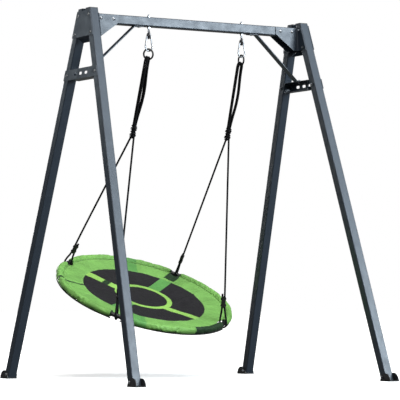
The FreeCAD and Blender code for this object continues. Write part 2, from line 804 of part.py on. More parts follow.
def ring_segment(radius, start_angle, end_angle):
    """A piece of a round bar bent to the seat ring's radius."""
    circle = Part.Wire(Part.makeCircle(radius, V(seat_ring_radius, 0, 0), Y_AXIS))
    segment = Part.Face(circle).revolve(ORIGIN, Z_AXIS, end_angle - start_angle)
    return placed(segment, FreeCAD.Placement(ORIGIN, FreeCAD.Rotation(Z_AXIS, start_angle)))


def hollow_segment(outer, inner, start_angle, end_angle):
    return ring_segment(outer, start_angle, end_angle).cut(ring_segment(inner, start_angle - 1, end_angle + 1))


def on_seat(shapes):
    return group([placed(shape, seat_place()) for shape in shapes])


def make_seat_tubes():
    inner = seat_tube - seat_tube_wall
    return on_seat([hollow_segment(seat_tube, inner, 90 * i + 0.1, 90 * i + 89.9) for i in range(4)])


def make_seat_connectors():
    half = connector_half_angle
    return on_seat([ring_segment(connector_radius, 90 * i - half, 90 * i + half) for i in range(4)])


def make_rim_pads():
    angles = list(rope_slots.values())
    pads = []
    for angle, following in zip(angles, angles[1:] + [angles[0] + 360]):
        start = angle + rope_slot_half_angle
        pads.append(hollow_segment(pad_radius, pad_bore, start, following - rope_slot_half_angle))
    return on_seat(pads)


def make_deck():
    """The fabric deck inside the rim, sagging to a flat middle and notched where the ropes go round."""
    low = deck_rim_height - deck_sag
    drop = V(0, 0, -deck_thickness)
    centre = V(0, 0, low)
    flat = V(deck_flat_radius, 0, low)
    middle = V((deck_radius + deck_flat_radius) / 2, 0, low + deck_sag / 4)
    rim = V(deck_radius, 0, deck_rim_height)
    edges = [
        Part.LineSegment(centre, flat).toShape(),
        Part.Arc(flat, middle, rim).toShape(),
        Part.LineSegment(rim, rim + drop).toShape(),
        Part.Arc(rim + drop, middle + drop, flat + drop).toShape(),
        Part.LineSegment(flat + drop, centre + drop).toShape(),
        Part.LineSegment(centre + drop, centre).toShape(),
    ]
    deck = Part.Face(Part.Wire(edges)).revolve(ORIGIN, Z_AXIS, 360)
    for name in rope_slots:
        deck = deck.cut(Part.makeCylinder(deck_notch_radius, 2 * deck_sag, slot_point(name, -deck_sag)))
    return on_seat([deck])


def add_corner_nodes(name, shape):
    nodes[name + "_front_right"] = shape
    nodes[name + "_rear_right"] = flip_y(shape)
    nodes[name + "_front_left"] = flip_x(shape)
    nodes[name + "_rear_left"] = flip_x(flip_y(shape))


def add_side_nodes(name, shape):
    nodes[name + "_right"] = shape
    nodes[name + "_left"] = flip_x(shape)


def build_frame():
    add_corner_nodes("leg", make_leg())
    nodes["leg_top_caps"] = four_corners([make_leg_cap()])
    nodes["beam"] = make_beam()
    beam_cap = make_beam_cap()
    nodes["beam_end_caps"] = group([beam_cap, flip_x(beam_cap)])
    add_corner_nodes("corner_bracket", make_corner_bracket())
    add_side_nodes("outer_plate", make_outer_plate())
    add_side_nodes("crossbar", make_crossbar())
    add_side_nodes("brace", make_brace())
    add_corner_nodes("foot_shoe", make_foot())
    half = leg_size / 2
    for name, places, outer_x, inner_x in (
        ("plate", plate_bolts, half + plate_sheet, -half - sheet),
        ("crossbar", [crossbar_bolt_place()], half + plate_sheet, -half),
        ("foot", [foot_bolt_place()], half + cheek_gap + cheek_thickness, -half - cheek_gap - cheek_thickness),
    ):
        bolts, nuts = side_fasteners(places, outer_x, inner_x)
        nodes[name + "_bolts"] = four_corners(bolts)
        nodes[name + "_nuts"] = four_corners(nuts)
    nodes["beam_bolts"], nodes["beam_nuts"] = beam_fasteners()
    nodes["brace_bolts"], nodes["brace_nuts"] = brace_fasteners()


def build_hanging_gear():
    nodes["eye_bolt_nuts"], nodes["eye_bolt_washers"] = eye_fasteners()
    nodes["gate_pins"] = make_gate_pins()
    for side, sign in SIDES.items():
        x = sign * hang_x
        nodes["eye_bolt_" + side] = make_eye_bolt(x)
        nodes["eye_bush_" + side] = make_bush(x)
        nodes["snap_hook_" + side] = make_hook(x)
        nodes["hook_gate_" + side] = make_gate(x)
        nodes["steel_ring_" + side] = make_ring(side)
        nodes["rope_knot_" + side] = make_knot(side)
        for end in ENDS:
            nodes["rope_%s_%s" % (end, side)] = make_rope(side, end)
            nodes["rope_buckle_%s_%s" % (end, side)] = make_buckle(side, end)


def build_seat():
    nodes["seat_ring_tubes"] = make_seat_tubes()
    nodes["seat_ring_connectors"] = make_seat_connectors()
    nodes["seat_rim_pads"] = make_rim_pads()
    nodes["seat_deck"] = make_deck()


build_frame()
build_hanging_gear()
build_seat()
os.makedirs("parts", exist_ok=True)
for name, shape in nodes.items():
    solids = shape.Solids
    if not shape.isValid() or not solids:
        print("NOT VALID", name, len(solids))
    shape.exportStep("parts/%s.step" % name)
print(len(nodes), "nodes")
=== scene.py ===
"""Looks for the garden swing set: braided ropes, a sewn saucer seat, materials, floor, lights and camera."""

import json
import math

import bpy
import numpy as np
from mathutils import Matrix, Vector, noise
from mathutils.geometry import delaunay_2d_cdt


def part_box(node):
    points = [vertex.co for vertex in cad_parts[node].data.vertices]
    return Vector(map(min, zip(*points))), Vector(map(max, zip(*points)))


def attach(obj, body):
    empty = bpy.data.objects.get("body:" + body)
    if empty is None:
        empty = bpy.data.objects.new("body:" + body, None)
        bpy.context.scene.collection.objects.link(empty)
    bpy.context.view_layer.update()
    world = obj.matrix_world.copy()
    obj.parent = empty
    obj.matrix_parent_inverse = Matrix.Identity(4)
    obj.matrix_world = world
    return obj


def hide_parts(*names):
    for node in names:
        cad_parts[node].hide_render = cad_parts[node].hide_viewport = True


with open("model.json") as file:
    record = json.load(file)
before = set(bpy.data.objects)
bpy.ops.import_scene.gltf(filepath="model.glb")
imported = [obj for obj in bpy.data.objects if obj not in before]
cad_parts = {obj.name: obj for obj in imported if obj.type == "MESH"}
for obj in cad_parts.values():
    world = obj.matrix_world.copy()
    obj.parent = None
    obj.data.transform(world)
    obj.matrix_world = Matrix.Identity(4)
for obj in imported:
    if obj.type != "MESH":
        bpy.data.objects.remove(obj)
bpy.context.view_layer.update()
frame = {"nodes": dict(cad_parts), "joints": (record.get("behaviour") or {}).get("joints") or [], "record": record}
nodes = frame["nodes"]
joints = {joint["name"]: joint for joint in frame["joints"]}

SIDES = {"left": -1, "right": 1}
ENDS = {"front": -1, "rear": 1}
X_AXIS = Vector((1, 0, 0))
Y_AXIS = Vector((0, 1, 0))
Z_AXIS = Vector((0, 0, 1))
mm = 0.001

# Hanging gear, as in the CAD model
pivot_height = joints["seat_swing"]["pos_m"][2]
eye_low, eye_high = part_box("eye_bolt_right")
hang_x = (eye_low.x + eye_high.x) / 2
ring_radius = 28 * mm
ring_wire = 4.75 * mm
ring_gap = 10.2 * mm
ring_lean = math.radians(13)
ring_yaw = {"left": math.radians(35), "right": 0.0}

# Seat, in its own frame
seat_centre = Vector((0.043, 0.646, 0.476))
seat_back_tilt = math.radians(24.4)
seat_side_tilt = math.radians(3.1)
seat_twist = math.radians(-5.3)
seat_ring_radius = 0.5
seat_tube = 12.7 * mm
rope_slots = {"rear_right": 45, "rear_left": 135, "front_left": 229, "front_right": 315}
slot_angles = [math.radians(angle) for angle in rope_slots.values()]
slot_half_angle = math.radians(3.3)
pad_radius = 20 * mm
deck_radius = 0.478
deck_flat_radius = 0.04
deck_rim_height = 4 * mm
deck_sag = 26 * mm
deck_cloth = 1.8 * mm
deck_step = 8 * mm
notch_radius = 34 * mm

# Sewing, padding and piping
pad_puff_limit = 5 * mm
piping_reach = pad_radius + 3.4 * mm
piping_turn = math.radians(-55)
piping_radius = 4.0 * mm
welt_radius = 1.6 * mm
thread_wave = 2 * math.pi / 20
stitch_pitch = 7 * mm
stitch_length = 4.6 * mm
stitch_thickness = 0.6 * mm

# The deck's print, in the seat's frame, and a dark strip of painted shade along a deep fold at the left side
medallion_radius = 0.140
medallion_border = 0.170
panel_radius = 0.360
patch_start = 0.385
patch_half_width = 0.034
block_angles = ((math.radians(80), math.radians(6.2)), (math.radians(-117), math.radians(5.5)))
# A strip of dark cloth at this angle is painted shade of a deep fold.
fold_shade_angle = math.radians(170)
fold_shade_half_angle = math.radians(1.6)
slot_patch_reach = math.radians(4.3)
front_patch_angle = math.radians(-62)
front_patch_reach = math.radians(15)

# Ropes
rope_radius = 5.5 * mm
ring_loop_gap = 2.65 * mm
tube_turn_gap = 1.4 * mm
pinched_spacing = 4.4 * mm
knot_distance = 0.462
knot_share = {"left": 0.30, "right": 0.50}
knot_length = 80 * mm
loop_spacing = 6.3 * mm
loop_start = 26 * mm
buckle_start = 92 * mm
buckle_length = 65 * mm
strand_offset = 7 * mm
tail_end = 0.172
straight_lead = 66 * mm
slack_bow = 17 * mm
rope_step = 1.7 * mm
knot_turns = 6.5
knot_wrap = 3.0 * mm
braid_pitch = 20 * mm
braid_lobes = 4
braid_relief = 0.45 * mm

# Camera
camera_place = Vector((-6.297, -10.532, 0.4354))
camera_heading = math.radians(30.987)
camera_pitch = math.radians(2.572)
camera_lens = 201.0


def make_camera():
    camera = bpy.data.cameras.new("camera")
    camera.lens = camera_lens
    camera.sensor_width = 36
    camera.clip_end = 200
    holder = bpy.data.objects.new("camera", camera)
    holder.location = camera_place
    holder.rotation_euler = (math.pi / 2 + camera_pitch, 0, -camera_heading)
    bpy.context.scene.collection.objects.link(holder)
    bpy.context.scene.camera = holder


# ---------------------------------------------------------------- materials

class Material:
    """Builds one procedural material, node by node."""

    def __init__(self, name, roughness, metallic=0.0):
        self.data = bpy.data.materials.new(name)
        self.data.use_nodes = True
        self.tree = self.data.node_tree
        self.shader = self.tree.nodes["Principled BSDF"]
        self.shader.inputs["Roughness"].default_value = roughness
        self.shader.inputs["Metallic"].default_value = metallic

    def add(self, kind, settings=None, **inputs):
        node = self.tree.nodes.new(kind)
        for key, value in (settings or {}).items():
            setattr(node, key, value)
        for key, value in inputs.items():
            self.feed(node.inputs[key.replace("_", " ")], value)
        return node

    def feed(self, socket, value):
        if isinstance(value, bpy.types.NodeSocket):
            self.tree.links.new(value, socket)
        else:
            socket.default_value = value

    def math(self, operation, first, second=0.0):
        node = self.add("ShaderNodeMath", {"operation": operation})
        self.feed(node.inputs[0], first)
        self.feed(node.inputs[1], second)
        return node.outputs[0]

    def blend(self, factor, first, second):
        node = self.add("ShaderNodeMix", {"data_type": "RGBA"})
        self.feed(node.inputs[0], factor)
        self.feed(node.inputs[6], first)
        self.feed(node.inputs[7], second)
        return node.outputs[2]

    def ramp(self, value, low, high, low_value=0.0, high_value=1.0):
        return self.add("ShaderNodeMapRange", {"clamp": True}, Value=value, From_Min=low, From_Max=high,
                        To_Min=low_value, To_Max=high_value).outputs[0]

    def place(self, kind="Object"):
        return self.add("ShaderNodeTexCoord").outputs[kind]

    def noise(self, scale, detail=3.0, place=None):
        place = place or self.place()
        return self.add("ShaderNodeTexNoise", Vector=place, Scale=scale, Detail=detail).outputs[0]

    def bands(self, place, direction, scale):
        settings = {"bands_direction": direction}
        return self.add("ShaderNodeTexWave", settings, Vector=place, Scale=scale).outputs[1]

    def bump(self, height, distance, strength=1.0, normal=None):
        node = self.add("ShaderNodeBump", Height=height, Distance=distance, Strength=strength)
        if normal is not None:
            self.feed(node.inputs["Normal"], normal)
        return node.outputs[0]

    def edge_wear(self, radius):
        """1 on sharp edges and 0 on open faces, and the rounded normal it is read from."""
        rounded = self.add("ShaderNodeBevel", {"samples": 4}, Radius=radius).outputs[0]
        geometry = self.add("ShaderNodeNewGeometry")
        dot = self.add("ShaderNodeVectorMath", {"operation": "DOT_PRODUCT"})
        self.feed(dot.inputs[0], rounded)
        self.feed(dot.inputs[1], geometry.outputs["Normal"])
        return self.ramp(dot.outputs["Value"], 0.985, 0.90), rounded

    def finish(self, colour=None, normal=None, roughness=None):
        for name, value in (("Base Color", colour), ("Normal", normal), ("Roughness", roughness)):
            if value is not None:
                self.feed(self.shader.inputs[name], value)
        return self.data


def shade(colour, factor):
    return (colour[0] * factor, colour[1] * factor, colour[2] * factor, 1.0)


def paint_material(name, colour, worn):
    """Powder coat: orange-peel grain, faint clouding, and rubbed edges."""
    paint = Material(name, 0.38, 0.15)
    clouds = paint.noise(6.0, 4.0)
    base = paint.blend(clouds, shade(colour, 0.88), shade(colour, 1.12))
    wear, rounded = paint.edge_wear(1.6 * mm)
    patchy = paint.math("MULTIPLY", wear, paint.ramp(paint.noise(45.0, 4.0), 0.42, 0.62, 0.15, 0.8))
    base = paint.blend(patchy, base, shade(worn, 1.0))
    peel = paint.noise(1100.0, 2.0)
    rough = paint.ramp(paint.noise(22.0, 5.0), 0.3, 0.7, 0.31, 0.42)
    return paint.finish(base, paint.bump(peel, 0.12 * mm, 0.5, rounded), rough)


def metal_material(name, colour, roughness, scratch):
    """Bare or plated steel with cloudy plating and fine scratches."""
    metal = Material(name, roughness, 1.0)
    clouds = metal.noise(140.0, 5.0)
    base = metal.blend(clouds, shade(colour, 0.80), shade(colour, 1.08))
    stretch = metal.add("ShaderNodeMapping", Vector=metal.place(), Scale=(1.0, 1.0, 9.0)).outputs[0]
    scratches = metal.noise(520.0, 4.0, stretch)
    rough = metal.ramp(metal.noise(60.0, 4.0), 0.3, 0.7, roughness * 0.75, roughness * 1.35)
    rounded = metal.add("ShaderNodeBevel", {"samples": 4}, Radius=0.6 * mm).outputs[0]
    return metal.finish(base, metal.bump(scratches, scratch, 0.6, rounded), rough)


def plastic_material(name, colour, roughness, grain, relief):
    """Moulded plastic with a fine spark-eroded grain and lighter rubbed edges."""
    plastic = Material(name, roughness)
    base = plastic.blend(plastic.noise(35.0, 4.0), shade(colour, 0.75), shade(colour, 1.4))
    wear, rounded = plastic.edge_wear(1.0 * mm)
    base = plastic.blend(plastic.math("MULTIPLY", wear, 0.35), base, shade(colour, 3.0))
    rough = plastic.ramp(plastic.noise(80.0, 3.0), 0.3, 0.7, roughness * 0.85, roughness * 1.15)
    return plastic.finish(base, plastic.bump(plastic.noise(grain, 2.0), relief, 0.6, rounded), rough)


def rope_material():
    """Black braided polyester: yarns along each strand, and a little dust in patches."""
    rope = Material("rope_braid", 0.85)
    place = rope.place("UV")
    yarns = rope.bands(place, "DIAGONAL", 5.0)
    dust = rope.math("MULTIPLY", rope.noise(900.0, 3.0), rope.noise(14.0, 4.0))
    base = rope.blend(rope.ramp(dust, 0.18, 0.42), (0.003, 0.003, 0.004, 1), (0.010, 0.010, 0.012, 1))
    fuzz = rope.math("ADD", yarns, rope.noise(2400.0, 2.0))
    rope.shader.inputs["Sheen Weight"].default_value = 0.04
    rope.shader.inputs["Sheen Roughness"].default_value = 0.5
    rope.shader.inputs["Specular IOR Level"].default_value = 0.12
    return rope.finish(base, rope.bump(fuzz, 0.2 * mm, 0.8))


def cloth_material(name, colour, sheen=0.06, thread=0.0013):
    """Coated woven polyester: a plain weave, uneven dye, and painted shade darkening the gaps between the threads.
    """
    cloth = Material(name, 0.62)
    place = cloth.place("UV")
    scale = thread_wave / thread
    warp = cloth.bands(place, "X", scale)
    weft = cloth.bands(place, "Y", scale)
    weave = cloth.math("MAXIMUM", warp, weft)
    dye = cloth.noise(9.0, 5.0)
    base = cloth.blend(cloth.ramp(dye, 0.3, 0.7), shade(colour, 0.86), shade(colour, 1.12))
    # Painted shade: the colour darkens in the gaps between the threads.
    base = cloth.blend(cloth.ramp(weave, 0.0, 1.0, 0.22, 0.0), base, shade(colour, 0.45))
    creases = cloth.noise(38.0, 6.0)
    rough = cloth.ramp(creases, 0.35, 0.65, 0.50, 0.68)
    cloth.shader.inputs["Sheen Weight"].default_value = sheen
    cloth.shader.inputs["Sheen Roughness"].default_value = 0.4
    cloth.shader.inputs["Specular IOR Level"].default_value = 0.3
    normal = cloth.bump(creases, 1.6 * mm, 0.35)
    return cloth.finish(base, cloth.bump(weave, 0.25 * mm, 0.5, normal), rough)


def make_materials():
    graphite = (0.024, 0.034, 0.049)
    return {
        "frame_paint": paint_material("powder_coat", graphite, (0.20, 0.22, 0.25)),
        "black_plastic": plastic_material("moulded_black", (0.013, 0.013, 0.014), 0.45, 1500.0, 0.15 * mm),
        "black_nylon": plastic_material("nylon_black", (0.010, 0.010, 0.011), 0.36, 2600.0, 0.08 * mm),
        "zinc": metal_material("zinc_plate", (0.36, 0.37, 0.39), 0.34, 0.05 * mm),
        "polished_steel": metal_material("polished_steel", (0.32, 0.33, 0.35), 0.30, 0.03 * mm),
        "black_ring": paint_material("black_coat", (0.008, 0.008, 0.009), (0.10, 0.10, 0.11)),
        "seat_steel": paint_material("black_tube", (0.010, 0.010, 0.011), (0.10, 0.10, 0.11)),
        "rope": rope_material(),
        "light_green": cloth_material("cloth_light_green", (0.150, 0.345, 0.075)),
        "mid_green": cloth_material("cloth_mid_green", (0.085, 0.270, 0.060)),
        "lime": cloth_material("cloth_lime", (0.240, 0.470, 0.090)),
        "dark_green": cloth_material("cloth_dark_green", (0.008, 0.030, 0.008)),
        "black_cloth": cloth_material("cloth_black", (0.009, 0.008, 0.010), 0.02, 0.0018),
        "piping": cloth_material("cloth_piping", (0.006, 0.006, 0.007), 0.02, 0.0009),
        "thread": cloth_material("cloth_thread", (0.34, 0.52, 0.20), 0.1, 0.0004),
    }


COVER_SLOTS = ("light_green", "mid_green", "lime", "dark_green", "black_cloth")
LIGHT, MID, LIME, DARK, BLACK = range(5)


def dress_cad(materials):
    """Gives CAD nodes their slot's material. The fabric slots' nodes are replaced, so they get none."""
    for part in frame["record"]["subparts"]:
        material = materials.get(part["material_slot"])
        if material is None:
            continue
        mesh = nodes[part["node"]].data
        mesh.materials.clear()
        mesh.materials.append(material)


# ---------------------------------------------------------------- meshes

def mesh_piece(name, verts, faces, materials, slots=None, uvs=None):
    """A smooth mesh object. slots holds a material number for each face, uvs a pair for each corner."""
    mesh = bpy.data.meshes.new(name)
    mesh.from_pydata([tuple(v) for v in verts], [], faces)
    for material in materials:
        mesh.materials.append(material)
    if slots is not None:
        mesh.polygons.foreach_set("material_index", slots)
    if uvs is not None:
        layer = mesh.uv_layers.new(name="weave")
        layer.data.foreach_set("uv", np.asarray(uvs, dtype=np.float32).ravel())
    mesh.polygons.foreach_set("use_smooth", [True] * len(mesh.polygons))
    mesh.update()
    piece = bpy.data.objects.new(name, mesh)
    bpy.context.scene.collection.objects.link(piece)
    return piece


def smooth_step(value, low, high):
    t = min(1.0, max(0.0, (value - low) / (high - low)))
    return t * t * (3 - 2 * t)


def spaced(line, step):
    """The line's points spread out evenly, about a step apart."""
    line = np.asarray(line)
    lengths = np.linalg.norm(np.diff(line, axis=0), axis=1)
    travel = np.concatenate([[0], np.cumsum(lengths)])
    count = max(2, int(round(travel[-1] / step)) + 1)
    wanted = np.linspace(0, travel[-1], count)
    return np.stack([np.interp(wanted, travel, line[:, i]) for i in range(3)], axis=1), wanted


def carried_frames(line):
    """Two directions across the line at each point, carried along it without twist."""
    tangents = np.gradient(line, axis=0)
    tangents /= np.linalg.norm(tangents, axis=1)[:, None]
    across = Vector(tangents[0]).orthogonal().normalized()
    firsts = []
    for tangent in tangents:
        way = Vector(tangent)
        across = (across - way * across.dot(way)).normalized()
        firsts.append(across.copy())
    firsts = np.array(firsts)
    return firsts, np.cross(tangents, firsts)


def skin(name, line, sides, radius_at, materials, travel=None, uv_size=1.0):
    """A tube round a line, closed at its ends; radius_at gives radii for angles and distances."""
    line = np.asarray(line)
    firsts, seconds = carried_frames(line)
    count = len(line)
    angles = np.linspace(0, 2 * math.pi, sides, endpoint=False)
    if travel is None:
        steps = np.linalg.norm(np.diff(line, axis=0), axis=1)
        travel = np.concatenate([[0], np.cumsum(steps)])
    radii = radius_at(angles[None, :], travel[:, None])
    rounds = np.cos(angles)[None, :, None] * firsts[:, None, :]
    rounds = rounds + np.sin(angles)[None, :, None] * seconds[:, None, :]
    verts = (line[:, None, :] + rounds * radii[:, :, None]).reshape(-1, 3)
    faces = []
    uvs = []
    for i in range(count - 1):
        after = i + 1
        low = travel[i] / uv_size
        high = low + (travel[1] - travel[0]) / uv_size
        for j in range(sides):
            k = (j + 1) % sides
            faces.append((i * sides + j, i * sides + k, after * sides + k, after * sides + j))
            uvs += [(j / sides, low), ((j + 1) / sides, low), ((j + 1) / sides, high), (j / sides, high)]
    faces.append(tuple(reversed(range(sides))))
    faces.append(tuple(range((count - 1) * sides, count * sides)))
    uvs += [(0.5, 0.5)] * (2 * sides)
    return mesh_piece(name, verts, faces, materials, None, uvs)


def round_skin(radius):
    return lambda angles, travel: np.full(np.broadcast(angles, travel).shape, radius)


# ---------------------------------------------------------------- ropes

def seat_matrix():
    turn = Matrix.Rotation(seat_back_tilt, 4, "X") @ Matrix.Rotation(seat_side_tilt, 4, "Y")
    return Matrix.Translation(seat_centre) @ turn @ Matrix.Rotation(seat_twist, 4, "Z")


def anchor_point(side, end):
    """The middle of the seat tube where one rope goes round it, and the tube's direction there."""
    place = seat_matrix()
    angle = math.radians(rope_slots[end + "_" + side])
    point = Vector((math.cos(angle), math.sin(angle), 0))
    return place @ (point * seat_ring_radius), place.to_3x3() @ Z_AXIS.cross(point)


def knot_frame(side):
    """The knot's middle, and the downward, sideways and backward directions there."""
    top = Vector((SIDES[side] * hang_x, 0, pivot_height))
    below = anchor_point(side, "front")[0].lerp(anchor_point(side, "rear")[0], knot_share[side])
    down = (below - top).normalized()
    backward = (Y_AXIS - down * Y_AXIS.dot(down)).normalized()
    return top + down * knot_distance, down, backward.cross(down), backward


def ring_crossing(side):
    """Where the ropes settle on the ring's wire, the way along the wire, and the ring's normal."""
    lean = Matrix.Rotation(ring_lean, 3, "X")
    centre = Vector((SIDES[side] * hang_x, 0, pivot_height)) + lean @ Vector((0, 0, ring_gap - ring_radius))
    normal = lean @ Matrix.Rotation(ring_yaw[side], 3, "Z") @ X_AXIS
    to_knot = knot_frame(side)[0] - centre
    radial = (to_knot - normal * to_knot.dot(normal)).normalized()
    way = radial.cross(normal).normalized()
    if way.y < 0:
        way = -way
    return centre + radial * ring_radius, way, normal


def buckle_frame(side, end):
    """The rope's two runs above the seat tube: base point, the way up the rope, and across."""
    point, tube_way = anchor_point(side, end)
    up = (knot_frame(side)[0] - point).normalized()
    normal = (tube_way - up * tube_way.dot(up)).normalized()
    across = normal.cross(up)
    if across.dot(point - seat_centre) < 0:
        across = -across
    return point, up, across


def lead(corner, towards):
    """A point on the straight run from a corner, a few diameters away from it."""
    return corner + (towards - corner).normalized() * straight_lead


def rope_points(side, end):
    """One rope from its tail in the knot, over the ring, back through the knot, and round the seat tube."""
    knot, down, sideways, backward = knot_frame(side)
    row = backward * (ENDS[end] * pinched_spacing)
    crossing, wire_way, ring_normal = ring_crossing(side)
    loop_centre = crossing + wire_way * (ENDS[end] * loop_spacing)
    up = (loop_centre - knot).normalized()
    out = (ring_normal - up * ring_normal.dot(up)).normalized()
    if out.dot(sideways) < 0:
        out = -out
    loop = ring_wire + rope_radius + ring_loop_gap
    point, rope_up, across = buckle_frame(side, end)
    turn = seat_tube + rope_radius + tube_turn_gap
    tail = knot + down * (knot_length / 2 - 4 * mm) + row + sideways * pinched_spacing
    over = loop_centre + out * loop + up * loop
    back = loop_centre - out * loop + up * loop
    through = knot + row - sideways * pinched_spacing
    above = buckle_start + buckle_length + 10 * mm
    inside = buckle_start - 12 * mm
    down_run = across * strand_offset
    return [
        tail,
        lead(over, tail),
        over,
        back,
        lead(back, through),
        (back + through) / 2 - sideways * slack_bow,
        lead(through, back),
        through,
        lead(through, point + rope_up * above + down_run),
        point + rope_up * (above + 2 * straight_lead) + down_run,
        point + rope_up * above + down_run,
        point + rope_up * inside + down_run,
        point + rope_up * loop_start + across * turn,
        point - rope_up * turn + across * turn,
        point - rope_up * turn - across * turn,
        point + rope_up * loop_start - across * turn,
        point + rope_up * inside - down_run,
        point + rope_up * tail_end - down_run,
    ]


def spline_line(points):
    """The points of the smooth NURBS line that the control points make."""
    curve = bpy.data.curves.new("route", "CURVE")
    curve.dimensions = "3D"
    spline = curve.splines.new("NURBS")
    spline.points.add(len(points) - 1)
    for control, point in zip(spline.points, points):
        control.co = (*point, 1)
    spline.order_u = 3
    spline.use_endpoint_u = True
    spline.resolution_u = 24
    holder = bpy.data.objects.new("route", curve)
    bpy.context.scene.collection.objects.link(holder)
    mesh = bpy.data.meshes.new_from_object(holder)
    line = [v.co.copy() for v in mesh.vertices]
    bpy.data.objects.remove(holder)
    bpy.data.curves.remove(curve)
    bpy.data.meshes.remove(mesh)
    return line


def braid(radius, pitch=braid_pitch, relief=braid_relief):
    """Radii of a round braid: strands going both ways make a lattice of crowns."""
    def radii(angles, travel):
        turn = 2 * math.pi * travel / pitch
        lattice = np.cos(braid_lobes * angles + turn) * np.cos(braid_lobes * angles - turn)
        return radius - relief + relief * (1 + lattice) * 0.7
    return radii


def make_rope(side, end, materials):
    line, travel = spaced(spline_line(rope_points(side, end)), rope_step)
    rope = skin("braided_rope_%s_%s" % (end, side), line, 20, braid(rope_radius), [materials["rope"]],
                travel=travel, uv_size=2 * math.pi * rope_radius)
    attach(rope, "seat")
    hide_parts("rope_%s_%s" % (end, side))


def make_knot(side, materials):
    """The wrapped knot: rope wound round the strands in two close lobes, with a waist between them."""
    knot, down, sideways, backward = knot_frame(side)
    bundle = pinched_spacing * math.sqrt(2) + rope_radius
    line = []
    for i in range(360):
        t = i / 359
        lobe = 0.5 - 0.5 * math.cos(4 * math.pi * t)
        radius = bundle + knot_wrap * 0.6 + 2.4 * mm * lobe
        angle = 2 * math.pi * knot_turns * t + 0.3 * math.sin(9 * t)
        along = t - 0.5 + 0.45 * math.sin(4 * math.pi * t) / (4 * math.pi)
        height = along * (knot_length - 2 * knot_wrap)
        slope = 3.0 * mm * math.sin(angle)
        across = sideways * math.cos(angle) + backward * math.sin(angle)
        line.append(knot + down * (height + slope) + across * radius)
    line, travel = spaced(line, rope_step)
    piece = skin("wrapped_knot_" + side, line, 16, braid(knot_wrap), [materials["rope"]],
                 travel=travel, uv_size=2 * math.pi * knot_wrap)
    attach(piece, "seat")
    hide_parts("rope_knot_" + side)
    return piece


# ---------------------------------------------------------------- seat

def angle_gap(angle, other):
    return abs((angle - other + math.pi) % (2 * math.pi) - math.pi)


# The four diagonal strips of the print: direction, offset to their left, half width
STRIPS = (
    (math.radians(45), 0.005, 0.036),
    (math.radians(135), 0.015, 0.033),
    (math.radians(-135), -0.020, 0.036),
    (math.radians(-45), -0.045, 0.028),
)


def strip_place(x, y, angle):
    """How far a point lies along a strip's direction, and to the left of it."""
    return x * math.cos(angle) + y * math.sin(angle), y * math.cos(angle) - x * math.sin(angle)


def strip_slot(number, r):
    # A band of dark cloth across the rear-left strip is painted shade of a fold.
    if number == 1:
        return DARK if 0.215 < r < 0.255 else LIME
    return LIME if number == 3 else MID


def notch_place(angle):
    return seat_ring_radius * math.cos(angle), seat_ring_radius * math.sin(angle)


def lens_angle(near, far):
    """Half the arc of one circle that lies inside another, their centres a ring radius apart."""
    apart = seat_ring_radius
    return math.acos((apart ** 2 + near ** 2 - far ** 2) / (2 * apart * near))


def notch_edge(angle):
    """The arc that a rope's slot cuts out of the deck's edge."""
    x, y = notch_place(angle)
    half = lens_angle(notch_radius, deck_radius)
    turns = [angle + math.pi + half * (i / 6 - 1) for i in range(13)]
    return [(x + notch_radius * math.cos(turn), y + notch_radius * math.sin(turn)) for turn in turns]


def in_notch(x, y):
    return any(math.dist((x, y), notch_place(angle)) < notch_radius for angle in slot_angles)


def margin_slot(x, y, angle):
    ahead, left = strip_place(x, y, slot_angles[0])
    if ahead > patch_start and abs(left) < patch_half_width:
        return DARK
    return block_slot(angle)


def block_slot(angle):
    """The cloth of the margin and of the rim round the seat, with dark cloth as painted shade along a deep fold.
    """
    # Painted shade: dark cloth along the deep fold.
    if angle_gap(angle, fold_shade_angle) < fold_shade_half_angle:
        return DARK
    for middle, half in block_angles:
        if angle_gap(angle, middle) < half:
            return MID
    return LIGHT


def print_and_shade_slot(x, y):
    """Which cloth the deck shows at a point: its print, and dark cloth as painted shade in two folds."""
    r = math.hypot(x, y)
    if r < medallion_radius:
        return BLACK
    if r < medallion_border:
        return LIME
    if r > panel_radius:
        return margin_slot(x, y, math.atan2(y, x))
    for number, (angle, offset, half) in enumerate(STRIPS):
        ahead, left = strip_place(x, y, angle)
        if ahead > 0 and abs(left - offset) < half:
            return strip_slot(number, r)
    return BLACK


def strip_edge(angle, left, near, far):
    """A straight edge of the print along a direction, between two radii."""
    ends = [math.sqrt(radius ** 2 - left ** 2) for radius in (near, far)]
    return [(a * math.cos(angle) - left * math.sin(angle), a * math.sin(angle) + left * math.cos(angle))
            for a in ends]


def print_and_shade_edges():
    """Every edge of the print and of the painted fold shade, as lines of points in the seat's frame."""
    lines = []
    for radius in (medallion_radius, medallion_border, panel_radius, deck_radius):
        count = int(2 * math.pi * radius / deck_step)
        turns = [2 * math.pi * i / count for i in range(count + 1)]
        lines.append([(radius * math.cos(turn), radius * math.sin(turn)) for turn in turns])
    for angle, offset, half in STRIPS:
        for left in (offset - half, offset + half):
            lines.append(strip_edge(angle, left, medallion_border, panel_radius))
    lines += [notch_edge(angle) for angle in slot_angles]
    near = math.hypot(patch_start, patch_half_width)
    lefts = (-patch_half_width, patch_half_width)
    sides = [strip_edge(slot_angles[0], left, near, deck_radius) for left in lefts]
    lines += sides + [[side[0] for side in sides]]
    # The blocks' edges, and the edges of the fold's dark strip of painted shade.
    for middle, half in block_angles + ((fold_shade_angle, fold_shade_half_angle),):
        for angle in (middle - half, middle + half):
            lines.append(strip_edge(angle, 0, panel_radius, deck_radius))
    return lines


def split_line(line):
    """A line's points with more between them, about a step apart."""
    result = [line[0]]
    for start, stop in zip(line, line[1:]):
        count = max(1, round(math.dist(start, stop) / deck_step))
        for i in range(1, count + 1):
            t = i / count
            result.append((start[0] + (stop[0] - start[0]) * t, start[1] + (stop[1] - start[1]) * t))
    return result


